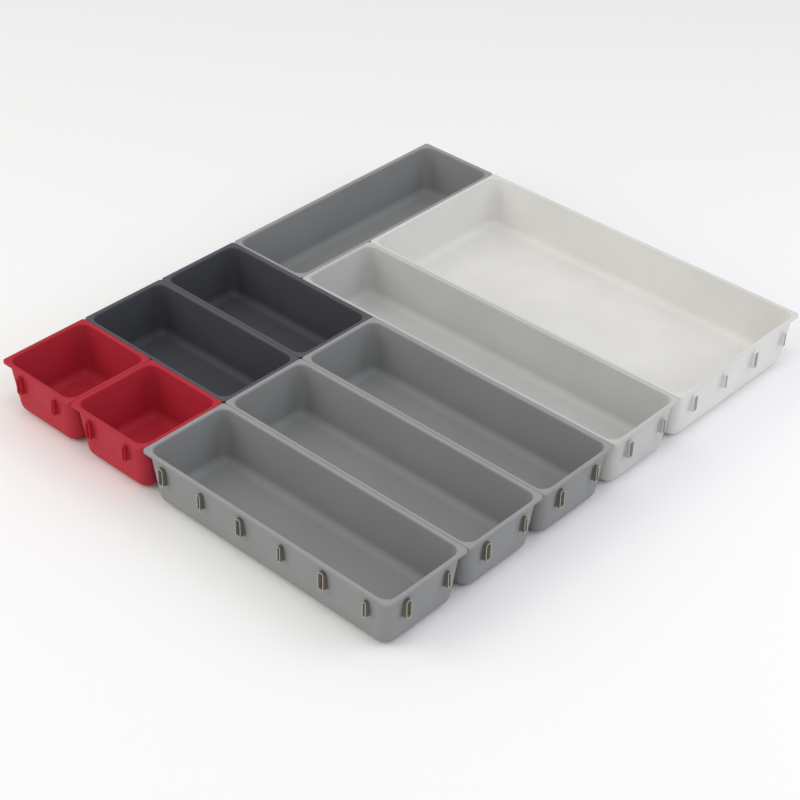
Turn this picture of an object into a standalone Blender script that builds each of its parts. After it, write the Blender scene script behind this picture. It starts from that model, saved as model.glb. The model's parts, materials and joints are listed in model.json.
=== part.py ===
"""Drawer organizer insert: open-top moulded bins plugged together on a square grid.

Every bin is one moulding. Its rim is a square-cornered flange, its walls are drafted with rounded
corners, and its outer faces carry one wide socket tube and one narrow plug tube per grid module.
A plug stands where the neighbouring bin has a socket, so any two bins join face to face.
Metres, +Z up. The origin is on the supporting surface, under the middle of the grid.
"""

import math

import bmesh
import bpy

# Grid
MODULE = 0.0762  # pitch of the bin sizes, 3 inches
GRID_X = 5  # modules across
GRID_Y = 6  # modules front to back
RIM_GAP = 0.0003  # between the rims of neighbouring bins

# Bin section
HEIGHT = 0.044
RIM_DEPTH = 0.0028  # height of the flange's outer edge
RIM_FLAT = 0.00165  # grid line to the inner edge of the rim's flat top
RIM_ROUND = 0.0016  # radius that rolls the rim's top into the inner wall
RIM_CORNER = 0.0024  # radius of the flange's outer corners in plan
WALL_INSET = 0.00135  # grid line to the outer wall just under the flange
WALL_SLOPE = math.tan(math.radians(5.5))
WALL = 0.002
WALL_CORNER = 0.010  # radius of the outer wall's corners in plan
BASE_FILLET = 0.0088  # outer radius between wall and base

# Plug and socket tubes
TUBE_REACH = 0.0013  # past the grid line, so a plug enters its socket by twice this
TUBE_CENTRE = 0.0137  # below the rim's top
TUBE_WALL = 0.0007
TUBE_CLEARANCE = 0.0003  # between a plug and its socket, on every side
PLUG_WIDTH = 0.0032
PLUG_LENGTH = 0.0129
PLUG_CORNER = 0.0013  # radius of its outline's corners
SOCKET_WIDTH = PLUG_WIDTH + 2 * (TUBE_CLEARANCE + TUBE_WALL)
SOCKET_LENGTH = PLUG_LENGTH + 2 * (TUBE_CLEARANCE + TUBE_WALL)
SOCKET_CORNER = 0.0021
SOCKET_AT = 0.25  # along each module, seen from outside, from its left end
PLUG_AT = 0.75
TUBE_ROOT = 0.0034  # grid line to a tube's buried end, inside the wall
POCKET_FLOOR = 0.0025  # grid line to the bottom of a tube's pocket
PAST = 0.001  # how far a cutter runs past the tube's mouth

# Facets
CORNER_STEPS = 3
FILLET_STEPS = 3
ROUND_STEPS = 2
TUBE_STEPS = 2

# Node: (material, left, front, right, back) in grid modules
BINS = {
    "red_bin_left": ("red", 0, 0, 1, 1),
    "red_bin_right": ("red", 1, 0, 2, 1),
    "grey_bin_front": ("grey", 2, 0, 5, 1),
    "charcoal_bin_front": ("charcoal", 0, 1, 2, 2),
    "grey_bin_middle": ("grey", 2, 1, 5, 2),
    "charcoal_bin_rear": ("charcoal", 0, 2, 2, 3),
    "grey_bin_rear": ("grey", 2, 2, 5, 3),
    "grey_bin_side": ("grey", 0, 3, 1, 6),
    "light_grey_bin": ("light_grey", 1, 3, 5, 4),
    "white_bin": ("white", 1, 4, 5, 6),
}

# Name: (linear colour, roughness)
PLASTICS = {
    "red": ((0.36, 0.020, 0.028), 0.45),
    "charcoal": ((0.036, 0.038, 0.042), 0.45),
    "grey": ((0.20, 0.20, 0.20), 0.45),
    "light_grey": ((0.50, 0.51, 0.47), 0.45),
    "white": ((0.80, 0.79, 0.76), 0.45),
}


def clear_scene():
    for obj in list(bpy.data.objects):
        bpy.data.objects.remove(obj, do_unlink=True)


def plastic(name):
    colour, roughness = PLASTICS[name]
    material = bpy.data.materials.new(name)
    material.use_nodes = True
    shader = material.node_tree.nodes["Principled BSDF"]
    shader.inputs["Base Color"].default_value = (*colour, 1.0)
    shader.inputs["Roughness"].default_value = roughness
    shader.inputs["Metallic"].default_value = 0.0
    return material


def rounded_rectangle(half_x, half_y, radius, steps):
    """Points of a rounded rectangle about the origin, anticlockwise from its right side."""
    points = []
    for quarter, (sx, sy) in enumerate(((1, 1), (-1, 1), (-1, -1), (1, -1))):
        for step in range(steps + 1):
            angle = math.pi / 2 * (quarter + step / steps)
            x = sx * (half_x - radius) + radius * math.cos(angle)
            y = sy * (half_y - radius) + radius * math.sin(angle)
            points.append((x, y))
    return points


def wall_run(top_inset, top_z, fillet, base_z, corner):
    """Rings (inset, height, corner radius) down a drafted wall and round its fillet to the base."""
    draft = math.atan(WALL_SLOPE)
    centre_z = base_z + fillet
    tangent_z = centre_z - fillet * math.sin(draft)
    tangent_inset = top_inset + WALL_SLOPE * (top_z - tangent_z)
    centre_inset = tangent_inset + fillet * math.cos(draft)
    rings = [(top_inset, top_z, corner)]
    for step in range(FILLET_STEPS + 1):
        angle = draft + (math.pi / 2 - draft) * step / FILLET_STEPS
        inset = centre_inset - fillet * math.cos(angle)
        height = centre_z - fillet * math.sin(angle)
        rings.append((inset, height, corner - (inset - tangent_inset)))
    return rings


def section_rings():
    """The bin's section as rings, from the inside floor up, over the rim and down to the base."""
    corner = WALL_CORNER - WALL
    inset = RIM_FLAT + RIM_ROUND
    round_z = HEIGHT - RIM_ROUND
    rings = wall_run(inset, round_z, BASE_FILLET - WALL, WALL, corner)[::-1]
    for step in range(1, ROUND_STEPS + 1):
        angle = math.pi / 2 * step / ROUND_STEPS
        roll = RIM_ROUND * (1 - math.cos(angle))
        rings.append((inset - roll, round_z + RIM_ROUND * math.sin(angle), corner + roll))
    rings.append((RIM_GAP / 2, HEIGHT, RIM_CORNER))
    rings.append((RIM_GAP / 2, HEIGHT - RIM_DEPTH, RIM_CORNER))
    rings += wall_run(WALL_INSET, HEIGHT - RIM_DEPTH, BASE_FILLET, 0.0, WALL_CORNER)
    return rings


def add_shell(bm, size_x, size_y):
    """The bin without its tubes, as one closed surface."""
    loops = []
    for inset, height, corner in section_rings():
        half_x = size_x / 2 - inset
        half_y = size_y / 2 - inset
        outline = rounded_rectangle(half_x, half_y, corner, CORNER_STEPS)
        loops.append([bm.verts.new((x, y, height)) for x, y in outline])
    count = len(loops[0])
    for lower, upper in zip(loops, loops[1:]):
        for i in range(count):
            j = (i + 1) % count
            bm.faces.new((lower[i], upper[i], upper[j], lower[j]))
    bm.faces.new(loops[0])
    bm.faces.new(loops[-1][::-1])


def tube_outline(is_socket, inset):
    """A socket's or plug's outline as (across, up) pairs, anticlockwise."""
    width = SOCKET_WIDTH if is_socket else PLUG_WIDTH
    length = SOCKET_LENGTH if is_socket else PLUG_LENGTH
    corner = SOCKET_CORNER if is_socket else PLUG_CORNER
    return rounded_rectangle(width / 2 - inset, length / 2 - inset, corner - inset, TUBE_STEPS)


def add_prism(bm, outline, origin, across, outward, start, end):
    """An upright outline made solid, standing on a face from start to end past the grid line."""
    rings = []
    for reach in (start, end):
        ring = []
        for a, up in outline:
            x = origin[0] + across[0] * a + outward[0] * reach
            y = origin[1] + across[1] * a + outward[1] * reach
            ring.append(bm.verts.new((x, y, HEIGHT - TUBE_CENTRE + up)))
        rings.append(ring)
    back, front = rings
    count = len(back)
    for i in range(count):
        j = (i + 1) % count
        bm.faces.new((back[i], back[j], front[j], front[i]))
    bm.faces.new(back[::-1])
    bm.faces.new(front)


def tube_places(modules_x, modules_y):
    """(origin, across, outward, is_socket) of each tube, going round the bin's four faces."""
    half_x = modules_x * MODULE / 2
    half_y = modules_y * MODULE / 2
    faces = (
        ((-half_x, -half_y), (1, 0), (0, -1), modules_x),
        ((half_x, -half_y), (0, 1), (1, 0), modules_y),
        ((half_x, half_y), (-1, 0), (0, 1), modules_x),
        ((-half_x, half_y), (0, -1), (-1, 0), modules_y),
    )
    for corner, across, outward, modules in faces:
        for module in range(modules):
            for at, is_socket in ((SOCKET_AT, True), (PLUG_AT, False)):
                along = (module + at) * MODULE
                origin = (corner[0] + across[0] * along, corner[1] + across[1] * along)
                yield origin, across, outward, is_socket


def mesh_object(name, bm):
    bmesh.ops.recalc_face_normals(bm, faces=bm.faces)
    mesh = bpy.data.meshes.new(name)
    bm.to_mesh(mesh)
    bm.free()
    obj = bpy.data.objects.new(name, mesh)
    bpy.context.scene.collection.objects.link(obj)
    return obj


def helper(obj):
    obj.hide_render = True
    obj.display_type = "WIRE"
    return obj


def boolean(obj, other, operation):
    modifier = obj.modifiers.new(other.name, "BOOLEAN")
    modifier.operation = operation
    modifier.solver = "EXACT"
    modifier.object = other


def make_bin(name, material, left, front, right, back):
    modules_x = right - left
    modules_y = back - front
    shell_bm = bmesh.new()
    tubes_bm = bmesh.new()
    pockets_bm = bmesh.new()
    add_shell(shell_bm, modules_x * MODULE, modules_y * MODULE)
    for origin, across, outward, is_socket in tube_places(modules_x, modules_y):
        tube = tube_outline(is_socket, 0.0)
        pocket = tube_outline(is_socket, TUBE_WALL)
        mouth = TUBE_REACH + PAST
        add_prism(tubes_bm, tube, origin, across, outward, -TUBE_ROOT, TUBE_REACH)
        add_prism(pockets_bm, pocket, origin, across, outward, -POCKET_FLOOR, mouth)
    obj = mesh_object(name, shell_bm)
    tubes = helper(mesh_object(name + "_tubes", tubes_bm))
    pockets = helper(mesh_object(name + "_pockets", pockets_bm))
    boolean(obj, tubes, "UNION")
    boolean(obj, pockets, "DIFFERENCE")
    obj.data.materials.append(material)
    obj.data.shade_smooth()
    obj.data.set_sharp_from_angle(angle=math.radians(40))
    tubes.parent = obj
    pockets.parent = obj
    middle_x = ((left + right) / 2 - GRID_X / 2) * MODULE
    middle_y = ((front + back) / 2 - GRID_Y / 2) * MODULE
    obj.location = (middle_x, middle_y, 0.0)


def main():
    clear_scene()
    materials = {name: plastic(name) for name in PLASTICS}
    for name, (colour, left, front, right, back) in BINS.items():
        make_bin(name, materials[colour], left, front, right, back)


main()
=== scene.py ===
"""Looks of the drawer organizer insert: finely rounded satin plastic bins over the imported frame.

Each bin is built again as one mesh on the same section as its CAD node, with every edge rounded and
its hollow plug and socket tubes flared into the walls. Metres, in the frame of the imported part.
"""

import json
import math

import bmesh
import bpy
from mathutils import Matrix, Vector

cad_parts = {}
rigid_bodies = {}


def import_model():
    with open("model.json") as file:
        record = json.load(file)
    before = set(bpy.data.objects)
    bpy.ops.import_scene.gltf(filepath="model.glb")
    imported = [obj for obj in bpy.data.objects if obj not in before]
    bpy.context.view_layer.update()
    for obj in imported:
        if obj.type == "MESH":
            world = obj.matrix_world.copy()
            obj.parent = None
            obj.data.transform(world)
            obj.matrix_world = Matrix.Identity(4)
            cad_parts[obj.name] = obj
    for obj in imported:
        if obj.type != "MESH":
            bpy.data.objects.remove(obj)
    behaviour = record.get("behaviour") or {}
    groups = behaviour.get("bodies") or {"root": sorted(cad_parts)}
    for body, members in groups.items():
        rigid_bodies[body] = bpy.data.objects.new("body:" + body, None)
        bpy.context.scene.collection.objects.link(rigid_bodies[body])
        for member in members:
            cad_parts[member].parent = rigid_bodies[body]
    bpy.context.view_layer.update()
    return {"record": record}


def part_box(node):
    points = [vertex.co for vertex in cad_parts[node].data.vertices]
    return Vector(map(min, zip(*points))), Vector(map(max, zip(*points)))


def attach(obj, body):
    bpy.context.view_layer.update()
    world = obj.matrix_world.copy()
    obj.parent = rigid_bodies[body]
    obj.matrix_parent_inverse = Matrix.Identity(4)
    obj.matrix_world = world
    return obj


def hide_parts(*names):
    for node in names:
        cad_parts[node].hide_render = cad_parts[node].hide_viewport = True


# Grid
MODULE = 0.0762
RIM_GAP = 0.0003

# Bin section, the same as the CAD part's
HEIGHT = 0.044
RIM_DEPTH = 0.0028
RIM_FLAT = 0.00165
RIM_ROUND = 0.0016
RIM_CORNER = 0.0024
RIM_EDGE = 0.00035  # radius that breaks the flange's outer edges
WALL_INSET = 0.00135
WALL_SLOPE = math.tan(math.radians(5.5))
WALL = 0.002
WALL_CORNER = 0.010
BASE_FILLET = 0.0088

# Plug and socket tubes
TUBE_REACH = 0.0013
TUBE_CENTRE = 0.0137
TUBE_WALL = 0.0007
TUBE_CLEARANCE = 0.0003
TUBE_EDGE = 0.0002  # radius of the mouth's edges
TUBE_FLARE = 0.0009  # largest radius between a tube and the wall
FLARE_GAP = 0.00002  # between a tube's flare and the mouth of the neighbour's tube
POCKET_PROUD = 0.00005  # a pocket's floor stands this far past the wall's face
PLUG_WIDTH = 0.0032
PLUG_LENGTH = 0.0129
PLUG_CORNER = 0.0013
SOCKET_WIDTH = PLUG_WIDTH + 2 * (TUBE_CLEARANCE + TUBE_WALL)
SOCKET_LENGTH = PLUG_LENGTH + 2 * (TUBE_CLEARANCE + TUBE_WALL)
SOCKET_CORNER = 0.0021
SOCKET_AT = 0.25
PLUG_AT = 0.75

# Smoothness
CORNER_STEPS = 12
FILLET_STEPS = 10
ROUND_STEPS = 6
EDGE_STEPS = 4
TUBE_STEPS = 6
SHARP_DEGREES = 50  # edges that turn more than this stay sharp
NORMAL_WEIGHT = 50  # how far large faces set the shading of their neighbours

# Linear colour of each slot's walls, tube sides, tube mouths and tube pockets; the last three are
# one plastic in lit and shaded copies
# Painted shade darkens the tube sides in every slot but white (over a real taupe tint in the grey
# slot), and a painted highlight lightens the mouths against them
PARTS = ("wall", "tube", "mouth", "pocket")
WALL_PART, TUBE_PART, MOUTH_PART, POCKET_PART = range(len(PARTS))
# Pockets carry painted light in the red slot and painted shade in the charcoal, light grey and white
# slots, against the walls
COLOURS = {
    "red": (
        (0.445, 0.0240, 0.0425),
        (0.41, 0.014, 0.026),
        (0.45, 0.023, 0.042),
        (0.60, 0.035, 0.055),
    ),
    "charcoal": (
        (0.063, 0.0655, 0.0755),
        (0.048, 0.049, 0.054),
        (0.085, 0.086, 0.092),
        (0.05, 0.05, 0.05),
    ),
    "grey": (
        (0.263, 0.268, 0.2690),
        (0.138, 0.129, 0.112),
        (0.42, 0.40, 0.35),
        (0.290, 0.265, 0.215),
    ),
    "light_grey": (
        (0.524, 0.528, 0.513),
        (0.48, 0.47, 0.445),
        (0.54, 0.53, 0.49),
        (0.45, 0.44, 0.41),
    ),
    "white": (
        (0.725, 0.718, 0.692),
        (0.72, 0.71, 0.685),
        (0.72, 0.71, 0.68),
        (0.62, 0.61, 0.59),
    ),
}
# Slot: (painted light on the rim's top as its brightness against the walls, specular level); above 1
# it is a painted highlight, below 1 painted shade
RIM_LIGHT_AND_GLOSS = {
    "red": (0.95, 0.20),
    "charcoal": (1.27, 0.32),
    "grey": (1.12, 0.32),
    "light_grey": (0.95, 0.32),
    "white": (0.91, 0.30),
}
ROUGHNESS = 0.58
PLASTIC_IOR = 1.49

# Noise in the plastic: (scale, detail, roughness)
NOISE_LOW = 0.3  # the noise's useful range
NOISE_HIGH = 0.7
MOTTLE = (22.0, 3.0, 0.5)
MOTTLE_SPREAD = 0.035  # of the colour's brightness, either way
SHEEN = (160.0, 4.0, 0.5)
SHEEN_SPREAD = 0.05  # of the roughness, either way
GRAIN = (2600.0, 2.0, 0.6)
GRAIN_STRENGTH = 0.22
GRAIN_HEIGHT = 0.00006
RIPPLE = (45.0, 1.0, 0.5)
RIPPLE_STRENGTH = 0.12
RIPPLE_HEIGHT = 0.0006

# Floor
FLOOR_HALF = 6.0
FLOOR_Z = -0.0002
FLOOR_GREY = 0.92
FLOOR_ROUGHNESS = 0.9
FLOOR_GLOSS = 0.1

# Camera
CAMERA_AT = (0.79487, -0.89384, 0.85532)
CAMERA_AZIMUTH = 41.959
CAMERA_ELEVATION = 36.023
CAMERA_ROLL = 1.357
CAMERA_LENS = 87.97
CAMERA_SENSOR = 36.0
CAMERA_NEAR = 0.05
CAMERA_FAR = 20.0

# Lights
WORLD_STRENGTH = 0.64
# Softboxes: (name, azimuth, elevation, distance, size, power, colour)
LIGHTS = (
    ("top", 42, 76, 2.2, 0.7, 6.0, (1.0, 1.0, 1.0)),
    ("left", -36, 35, 2.0, 1.4, 12.3, (1.0, 0.965, 0.87)),
    ("right", 117, 40, 1.4, 1.0, 5.2, (0.86, 0.875, 1.0)),
)


def rounded_rectangle(half_x, half_y, radius, steps):
    """Points of a rounded rectangle about the origin, anticlockwise from its right side."""
    points = []
    for quarter, (sx, sy) in enumerate(((1, 1), (-1, 1), (-1, -1), (1, -1))):
        for step in range(steps + 1):
            angle = math.pi / 2 * (quarter + step / steps)
            x = sx * (half_x - radius) + radius * math.cos(angle)
            y = sy * (half_y - radius) + radius * math.sin(angle)
            points.append((x, y))
    return points


def wall_run(top_inset, top_z, fillet, base_z, corner):
    """Rings (inset, height, corner radius) down a drafted wall and round its fillet to the base."""
    draft = math.atan(WALL_SLOPE)
    centre_z = base_z + fillet
    tangent_z = centre_z - fillet * math.sin(draft)
    tangent_inset = top_inset + WALL_SLOPE * (top_z - tangent_z)
    centre_inset = tangent_inset + fillet * math.cos(draft)
    rings = [(top_inset, top_z, corner)]
    for step in range(FILLET_STEPS + 1):
        angle = draft + (math.pi / 2 - draft) * step / FILLET_STEPS
        inset = centre_inset - fillet * math.cos(angle)
        height = centre_z - fillet * math.sin(angle)
        rings.append((inset, height, corner - (inset - tangent_inset)))
    return rings


def arc(centre_inset, centre_z, radius, start, end, steps):
    """(inset, height) pairs round an edge; angle 0 points outward and 90 up, in degrees."""
    for step in range(steps + 1):
        angle = math.radians(start + (end - start) * step / steps)
        yield centre_inset - radius * math.cos(angle), centre_z + radius * math.sin(angle)


def section_rings():
    """The bin's section as rings, from the inside floor up, over the rim and down to the base."""
    corner = WALL_CORNER - WALL
    inset = RIM_FLAT + RIM_ROUND
    round_z = HEIGHT - RIM_ROUND
    edge = RIM_GAP / 2
    rings = wall_run(inset, round_z, BASE_FILLET - WALL, WALL, corner)[::-1]
    for step in range(1, ROUND_STEPS + 1):
        angle = math.pi / 2 * step / ROUND_STEPS
        roll = RIM_ROUND * (1 - math.cos(angle))
        rings.append((inset - roll, round_z + RIM_ROUND * math.sin(angle), corner + roll))
    top = arc(edge + RIM_EDGE, HEIGHT - RIM_EDGE, RIM_EDGE, 90, 0, EDGE_STEPS)
    low = arc(edge + RIM_EDGE, HEIGHT - RIM_DEPTH + RIM_EDGE, RIM_EDGE, 0, -90, EDGE_STEPS)
    for ring_inset, height in (*top, *low):
        rings.append((ring_inset, height, RIM_CORNER - (ring_inset - edge)))
    rings += wall_run(WALL_INSET, HEIGHT - RIM_DEPTH, BASE_FILLET, 0.0, WALL_CORNER)
    return rings


def bridge(bm, loops, part):
    """Quads between each ring and the next, in the plastic of one part."""
    count = len(loops[0])
    for lower, upper in zip(loops, loops[1:]):
        for i in range(count):
            j = (i + 1) % count
            face = bm.faces.new((lower[i], upper[i], upper[j], lower[j]))
            face.material_index = part


def add_shell(bm, size_x, size_y):
    """The bin without its tubes, as one closed surface."""
    loops = []
    for inset, height, corner in section_rings():
        half_x = size_x / 2 - inset
        half_y = size_y / 2 - inset
        outline = rounded_rectangle(half_x, half_y, corner, CORNER_STEPS)
        loops.append([bm.verts.new((x, y, height)) for x, y in outline])
    bridge(bm, loops, WALL_PART)
    bm.faces.new(loops[0])
    bm.faces.new(loops[-1][::-1])


def tube_outline(is_socket, grow):
    """A socket's or plug's outline, grown all round, as (across, up) pairs."""
    width = SOCKET_WIDTH if is_socket else PLUG_WIDTH
    length = SOCKET_LENGTH if is_socket else PLUG_LENGTH
    corner = SOCKET_CORNER if is_socket else PLUG_CORNER
    return rounded_rectangle(width / 2 + grow, length / 2 + grow, corner + grow, TUBE_STEPS)


def wall_inset_at(z):
    """How far the outer wall's face stands inside the grid line at a height."""
    return WALL_INSET + WALL_SLOPE * (HEIGHT - RIM_DEPTH - z)


def tube_profile():
    """Rows of (kind, growth of the outline, reach) from a tube's root to its pocket's floor.

    A flare row is in shares of the flare's radius, and its reach is from the wall's face. The others
    are in metres: a mouth row's reach is from the grid line, and a floor row's from the wall's face.
    """
    rows = []
    for step in range(EDGE_STEPS + 1):
        angle = math.pi / 2 * step / EDGE_STEPS
        rows.append(("flare", 1 - math.sin(angle), 1 - math.cos(angle)))
    for step in range(EDGE_STEPS + 1):
        angle = math.pi / 2 * step / EDGE_STEPS
        grow = -TUBE_EDGE * (1 - math.cos(angle))
        rows.append(("mouth", grow, TUBE_REACH - TUBE_EDGE * (1 - math.sin(angle))))
    for step in range(EDGE_STEPS + 1):
        angle = math.pi / 2 * step / EDGE_STEPS
        grow = -TUBE_WALL + TUBE_EDGE * (1 - math.sin(angle))
        rows.append(("mouth", grow, TUBE_REACH - TUBE_EDGE * (1 - math.cos(angle))))
    rows.append(("floor", -TUBE_WALL, POCKET_PROUD))
    return rows


def add_tube(bm, origin, across, outward, is_socket):
    """One hollow tube on a wall, its root flared to the sloping face."""
    loops = []
    nominal = tube_outline(is_socket, 0.0)
    centre_z = HEIGHT - TUBE_CENTRE
    for kind, grow, reach in tube_profile():
        ring = []
        for index, (_, nominal_up) in enumerate(nominal):
            inset = wall_inset_at(centre_z + nominal_up)
            flare = min(TUBE_FLARE, inset - TUBE_REACH - FLARE_GAP)
            growth = grow * flare if kind == "flare" else grow
            along, up = tube_outline(is_socket, growth)[index]
            depth = {"flare": reach * flare - inset, "mouth": reach, "floor": reach - inset}[kind]
            x = origin[0] + across[0] * along + outward[0] * depth
            y = origin[1] + across[1] * along + outward[1] * depth
            ring.append(bm.verts.new((x, y, centre_z + up)))
        loops.append(ring)
    lip = EDGE_STEPS + 1
    # Sides, mouth and pocket take their own colours: painted shade on the sides, a painted highlight
    # on the mouth and painted light and shade in the pocket
    bridge(bm, loops[:lip + 1], TUBE_PART)
    bridge(bm, loops[lip:-1], MOUTH_PART)
    bridge(bm, loops[-2:], POCKET_PART)
    bm.faces.new(loops[-1]).material_index = POCKET_PART


def tube_places(modules_x, modules_y):
    """(origin, across, outward, is_socket) of each tube, going round the bin's four faces."""
    half_x = modules_x * MODULE / 2
    half_y = modules_y * MODULE / 2
    faces = (
        ((-half_x, -half_y), (1, 0), (0, -1), modules_x),
        ((half_x, -half_y), (0, 1), (1, 0), modules_y),
        ((half_x, half_y), (-1, 0), (0, 1), modules_x),
        ((-half_x, half_y), (0, -1), (-1, 0), modules_y),
    )
    for corner, across, outward, modules in faces:
        for module in range(modules):
            for at, is_socket in ((SOCKET_AT, True), (PLUG_AT, False)):
                along = (module + at) * MODULE
                origin = (corner[0] + across[0] * along, corner[1] + across[1] * along)
                yield origin, across, outward, is_socket


def node(tree, kind, **inputs):
    """A new shader node with its inputs set; an underscore stands for a space in an input's name."""
    made = tree.nodes.new(kind)
    for name, value in inputs.items():
        made.inputs[name.replace("_", " ")].default_value = value
    return made


def noise(tree, coordinates, pattern):
    scale, detail, roughness = pattern
    made = node(tree, "ShaderNodeTexNoise", Scale=scale, Detail=detail, Roughness=roughness)
    tree.links.new(coordinates, made.inputs["Vector"])
    return made.outputs["Fac"]


def remap(tree, value, low, high):
    """The noise's useful range spread from low to high."""
    made = node(
        tree, "ShaderNodeMapRange", From_Min=NOISE_LOW, From_Max=NOISE_HIGH, To_Min=low, To_Max=high
    )
    tree.links.new(value, made.inputs["Value"])
    return made.outputs["Result"]


def paint_rim_light(tree, coordinates, value, gain):
    """A value times a gain that grows from 1 under the flange to its whole on the rim's top: painted
    light there, a painted highlight where the gain is above 1 and painted shade where it is below 1.
    """
    split = tree.nodes.new("ShaderNodeSeparateXYZ")
    tree.links.new(coordinates, split.inputs["Vector"])
    low = HEIGHT - RIM_DEPTH
    high = HEIGHT - RIM_ROUND / 4
    height = node(
        tree, "ShaderNodeMapRange", From_Min=low, From_Max=high, To_Min=1.0, To_Max=gain
    )
    height.interpolation_type = "SMOOTHSTEP"
    tree.links.new(split.outputs["Z"], height.inputs["Value"])
    product = tree.nodes.new("ShaderNodeMath")
    product.operation = "MULTIPLY"
    tree.links.new(value, product.inputs[0])
    tree.links.new(height.outputs["Result"], product.inputs[1])
    return product.outputs["Value"]


def moulded_plastic(name, colour, painted_rim_light, gloss):
    """Satin injection-moulded plastic: faint flow mottling, uneven sheen, a fine spark grain and
    painted light on the rim's top.
    """
    material = bpy.data.materials.new(name)
    material.use_nodes = True
    tree = material.node_tree
    shader = tree.nodes["Principled BSDF"]
    coordinates = tree.nodes.new("ShaderNodeTexCoord").outputs["Object"]

    mottle = noise(tree, coordinates, MOTTLE)
    mottle_range = remap(tree, mottle, 1 - MOTTLE_SPREAD, 1 + MOTTLE_SPREAD)
    # Painted light: the colour is lightened or darkened on the rim's top to stand in for the sheen
    # and shade that light puts there
    value = paint_rim_light(tree, coordinates, mottle_range, painted_rim_light)
    tint = node(tree, "ShaderNodeHueSaturation", Color=(*colour, 1.0))
    tree.links.new(value, tint.inputs["Value"])
    tree.links.new(tint.outputs["Color"], shader.inputs["Base Color"])

    sheen = noise(tree, coordinates, SHEEN)
    sheen_range = remap(tree, sheen, ROUGHNESS - SHEEN_SPREAD, ROUGHNESS + SHEEN_SPREAD)
    tree.links.new(sheen_range, shader.inputs["Roughness"])

    grain = noise(tree, coordinates, GRAIN)
    fine = node(tree, "ShaderNodeBump", Strength=GRAIN_STRENGTH, Distance=GRAIN_HEIGHT)
    tree.links.new(grain, fine.inputs["Height"])
    ripple = noise(tree, coordinates, RIPPLE)
    sink = node(tree, "ShaderNodeBump", Strength=RIPPLE_STRENGTH, Distance=RIPPLE_HEIGHT)
    tree.links.new(ripple, sink.inputs["Height"])
    tree.links.new(fine.outputs["Normal"], sink.inputs["Normal"])
    tree.links.new(sink.outputs["Normal"], shader.inputs["Normal"])

    shader.inputs["IOR"].default_value = PLASTIC_IOR
    shader.inputs["Specular IOR Level"].default_value = gloss
    return material


def make_bin(name, body, materials):
    """The finely rounded bin that stands for CAD node name."""
    low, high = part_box(name)
    centre = (low + high) / 2
    size_x = high.x - low.x - 2 * TUBE_REACH
    size_y = high.y - low.y - 2 * TUBE_REACH
    bm = bmesh.new()
    add_shell(bm, size_x, size_y)
    places = tube_places(round(size_x / MODULE), round(size_y / MODULE))
    for origin, across, outward, is_socket in places:
        add_tube(bm, origin, across, outward, is_socket)
    bmesh.ops.recalc_face_normals(bm, faces=bm.faces)
    mesh = bpy.data.meshes.new(name)
    bm.to_mesh(mesh)
    bm.free()
    for material in materials:
        mesh.materials.append(material)
    mesh.shade_smooth()
    mesh.set_sharp_from_angle(angle=math.radians(SHARP_DEGREES))
    piece = bpy.data.objects.new(name + "_moulding", mesh)
    bpy.context.scene.collection.objects.link(piece)
    piece.location = (centre.x, centre.y, low.z)
    normals = piece.modifiers.new("even_normals", "WEIGHTED_NORMAL")
    normals.weight = NORMAL_WEIGHT
    normals.keep_sharp = True
    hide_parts(name)
    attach(piece, body)


def make_floor():
    bm = bmesh.new()
    bmesh.ops.create_grid(bm, x_segments=1, y_segments=1, size=FLOOR_HALF)
    mesh = bpy.data.meshes.new("floor")
    bm.to_mesh(mesh)
    bm.free()
    floor = bpy.data.objects.new("floor", mesh)
    bpy.context.scene.collection.objects.link(floor)
    floor.location.z = FLOOR_Z
    material = bpy.data.materials.new("floor_paper")
    material.use_nodes = True
    shader = material.node_tree.nodes["Principled BSDF"]
    shader.inputs["Base Color"].default_value = (FLOOR_GREY, FLOOR_GREY, FLOOR_GREY, 1.0)
    shader.inputs["Roughness"].default_value = FLOOR_ROUGHNESS
    shader.inputs["Specular IOR Level"].default_value = FLOOR_GLOSS
    mesh.materials.append(material)


def away(azimuth, elevation):
    """Unit vector from the object; azimuth 0 is towards -Y and 90 towards +X, in degrees."""
    a = math.radians(azimuth)
    e = math.radians(elevation)
    return Vector((math.sin(a) * math.cos(e), -math.cos(a) * math.cos(e), math.sin(e)))


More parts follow.
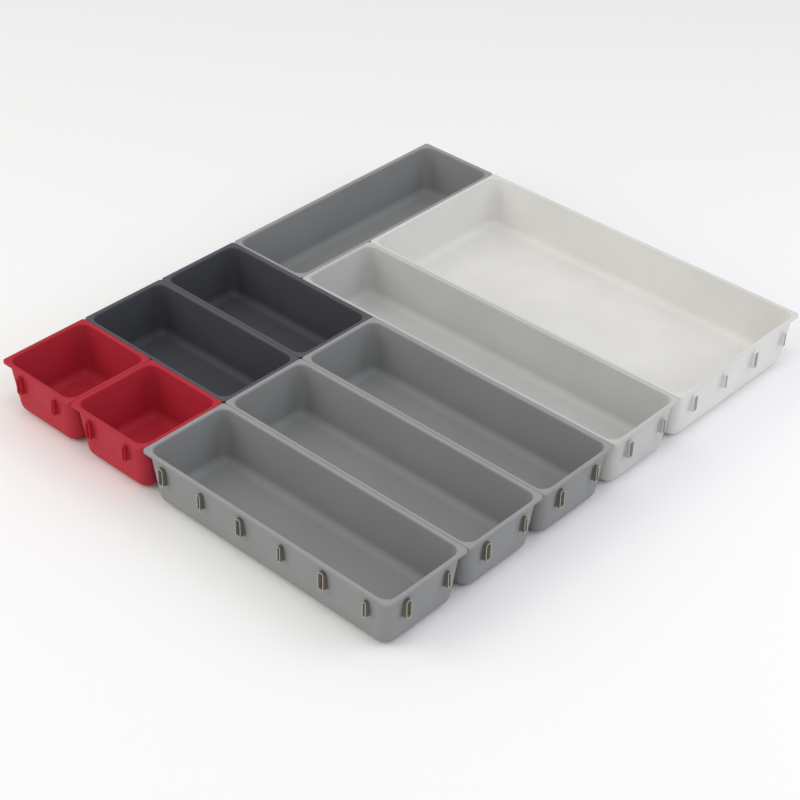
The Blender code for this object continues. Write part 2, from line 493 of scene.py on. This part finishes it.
def add_light(name, azimuth, elevation, distance, size, power, colour):
    data = bpy.data.lights.new(name, "AREA")
    data.shape = "SQUARE"
    data.size = size
    data.energy = power
    data.color = colour
    light = bpy.data.objects.new(name, data)
    bpy.context.scene.collection.objects.link(light)
    direction = away(azimuth, elevation)
    light.location = direction * distance
    light.rotation_mode = "QUATERNION"
    light.rotation_quaternion = (-direction).to_track_quat("-Z", "Y")


def light_scene():
    world = bpy.data.worlds.new("studio")
    world.use_nodes = True
    background = world.node_tree.nodes["Background"]
    background.inputs["Color"].default_value = (1.0, 1.0, 1.0, 1.0)
    background.inputs["Strength"].default_value = WORLD_STRENGTH
    bpy.context.scene.world = world
    for name, azimuth, elevation, distance, size, power, colour in LIGHTS:
        add_light(name, azimuth, elevation, distance, size, power, colour)
    bpy.context.scene.view_settings.view_transform = "Standard"


def add_camera():
    roll = math.radians(CAMERA_ROLL)
    back = away(CAMERA_AZIMUTH, CAMERA_ELEVATION)
    right = Vector((-back.y, back.x, 0.0)).normalized()
    up = back.cross(right)
    camera_x = right * math.cos(roll) + up * math.sin(roll)
    camera_y = up * math.cos(roll) - right * math.sin(roll)
    data = bpy.data.cameras.new("camera")
    data.lens = CAMERA_LENS
    data.sensor_width = CAMERA_SENSOR
    data.clip_start = CAMERA_NEAR
    data.clip_end = CAMERA_FAR
    camera = bpy.data.objects.new("camera", data)
    bpy.context.scene.collection.objects.link(camera)
    rotation = Matrix((camera_x, camera_y, back)).transposed()
    camera.matrix_world = Matrix.Translation(CAMERA_AT) @ rotation.to_4x4()
    bpy.context.scene.camera = camera


for stray in list(bpy.data.objects):
    bpy.data.objects.remove(stray, do_unlink=True)

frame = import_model()

plastics = {}
for slot_name, colours in COLOURS.items():
    plastics[slot_name] = [
        moulded_plastic(f"{slot_name}_{part}_plastic", colour, *RIM_LIGHT_AND_GLOSS[slot_name])
        for part, colour in zip(PARTS, colours)
    ]

slots = {row["node"]: row["material_slot"] for row in frame["record"]["subparts"]}
for body_name, members in frame["record"]["behaviour"]["bodies"].items():
    for member in members:
        make_bin(member, body_name, plastics[slots[member]])

make_floor()
light_scene()
add_camera()
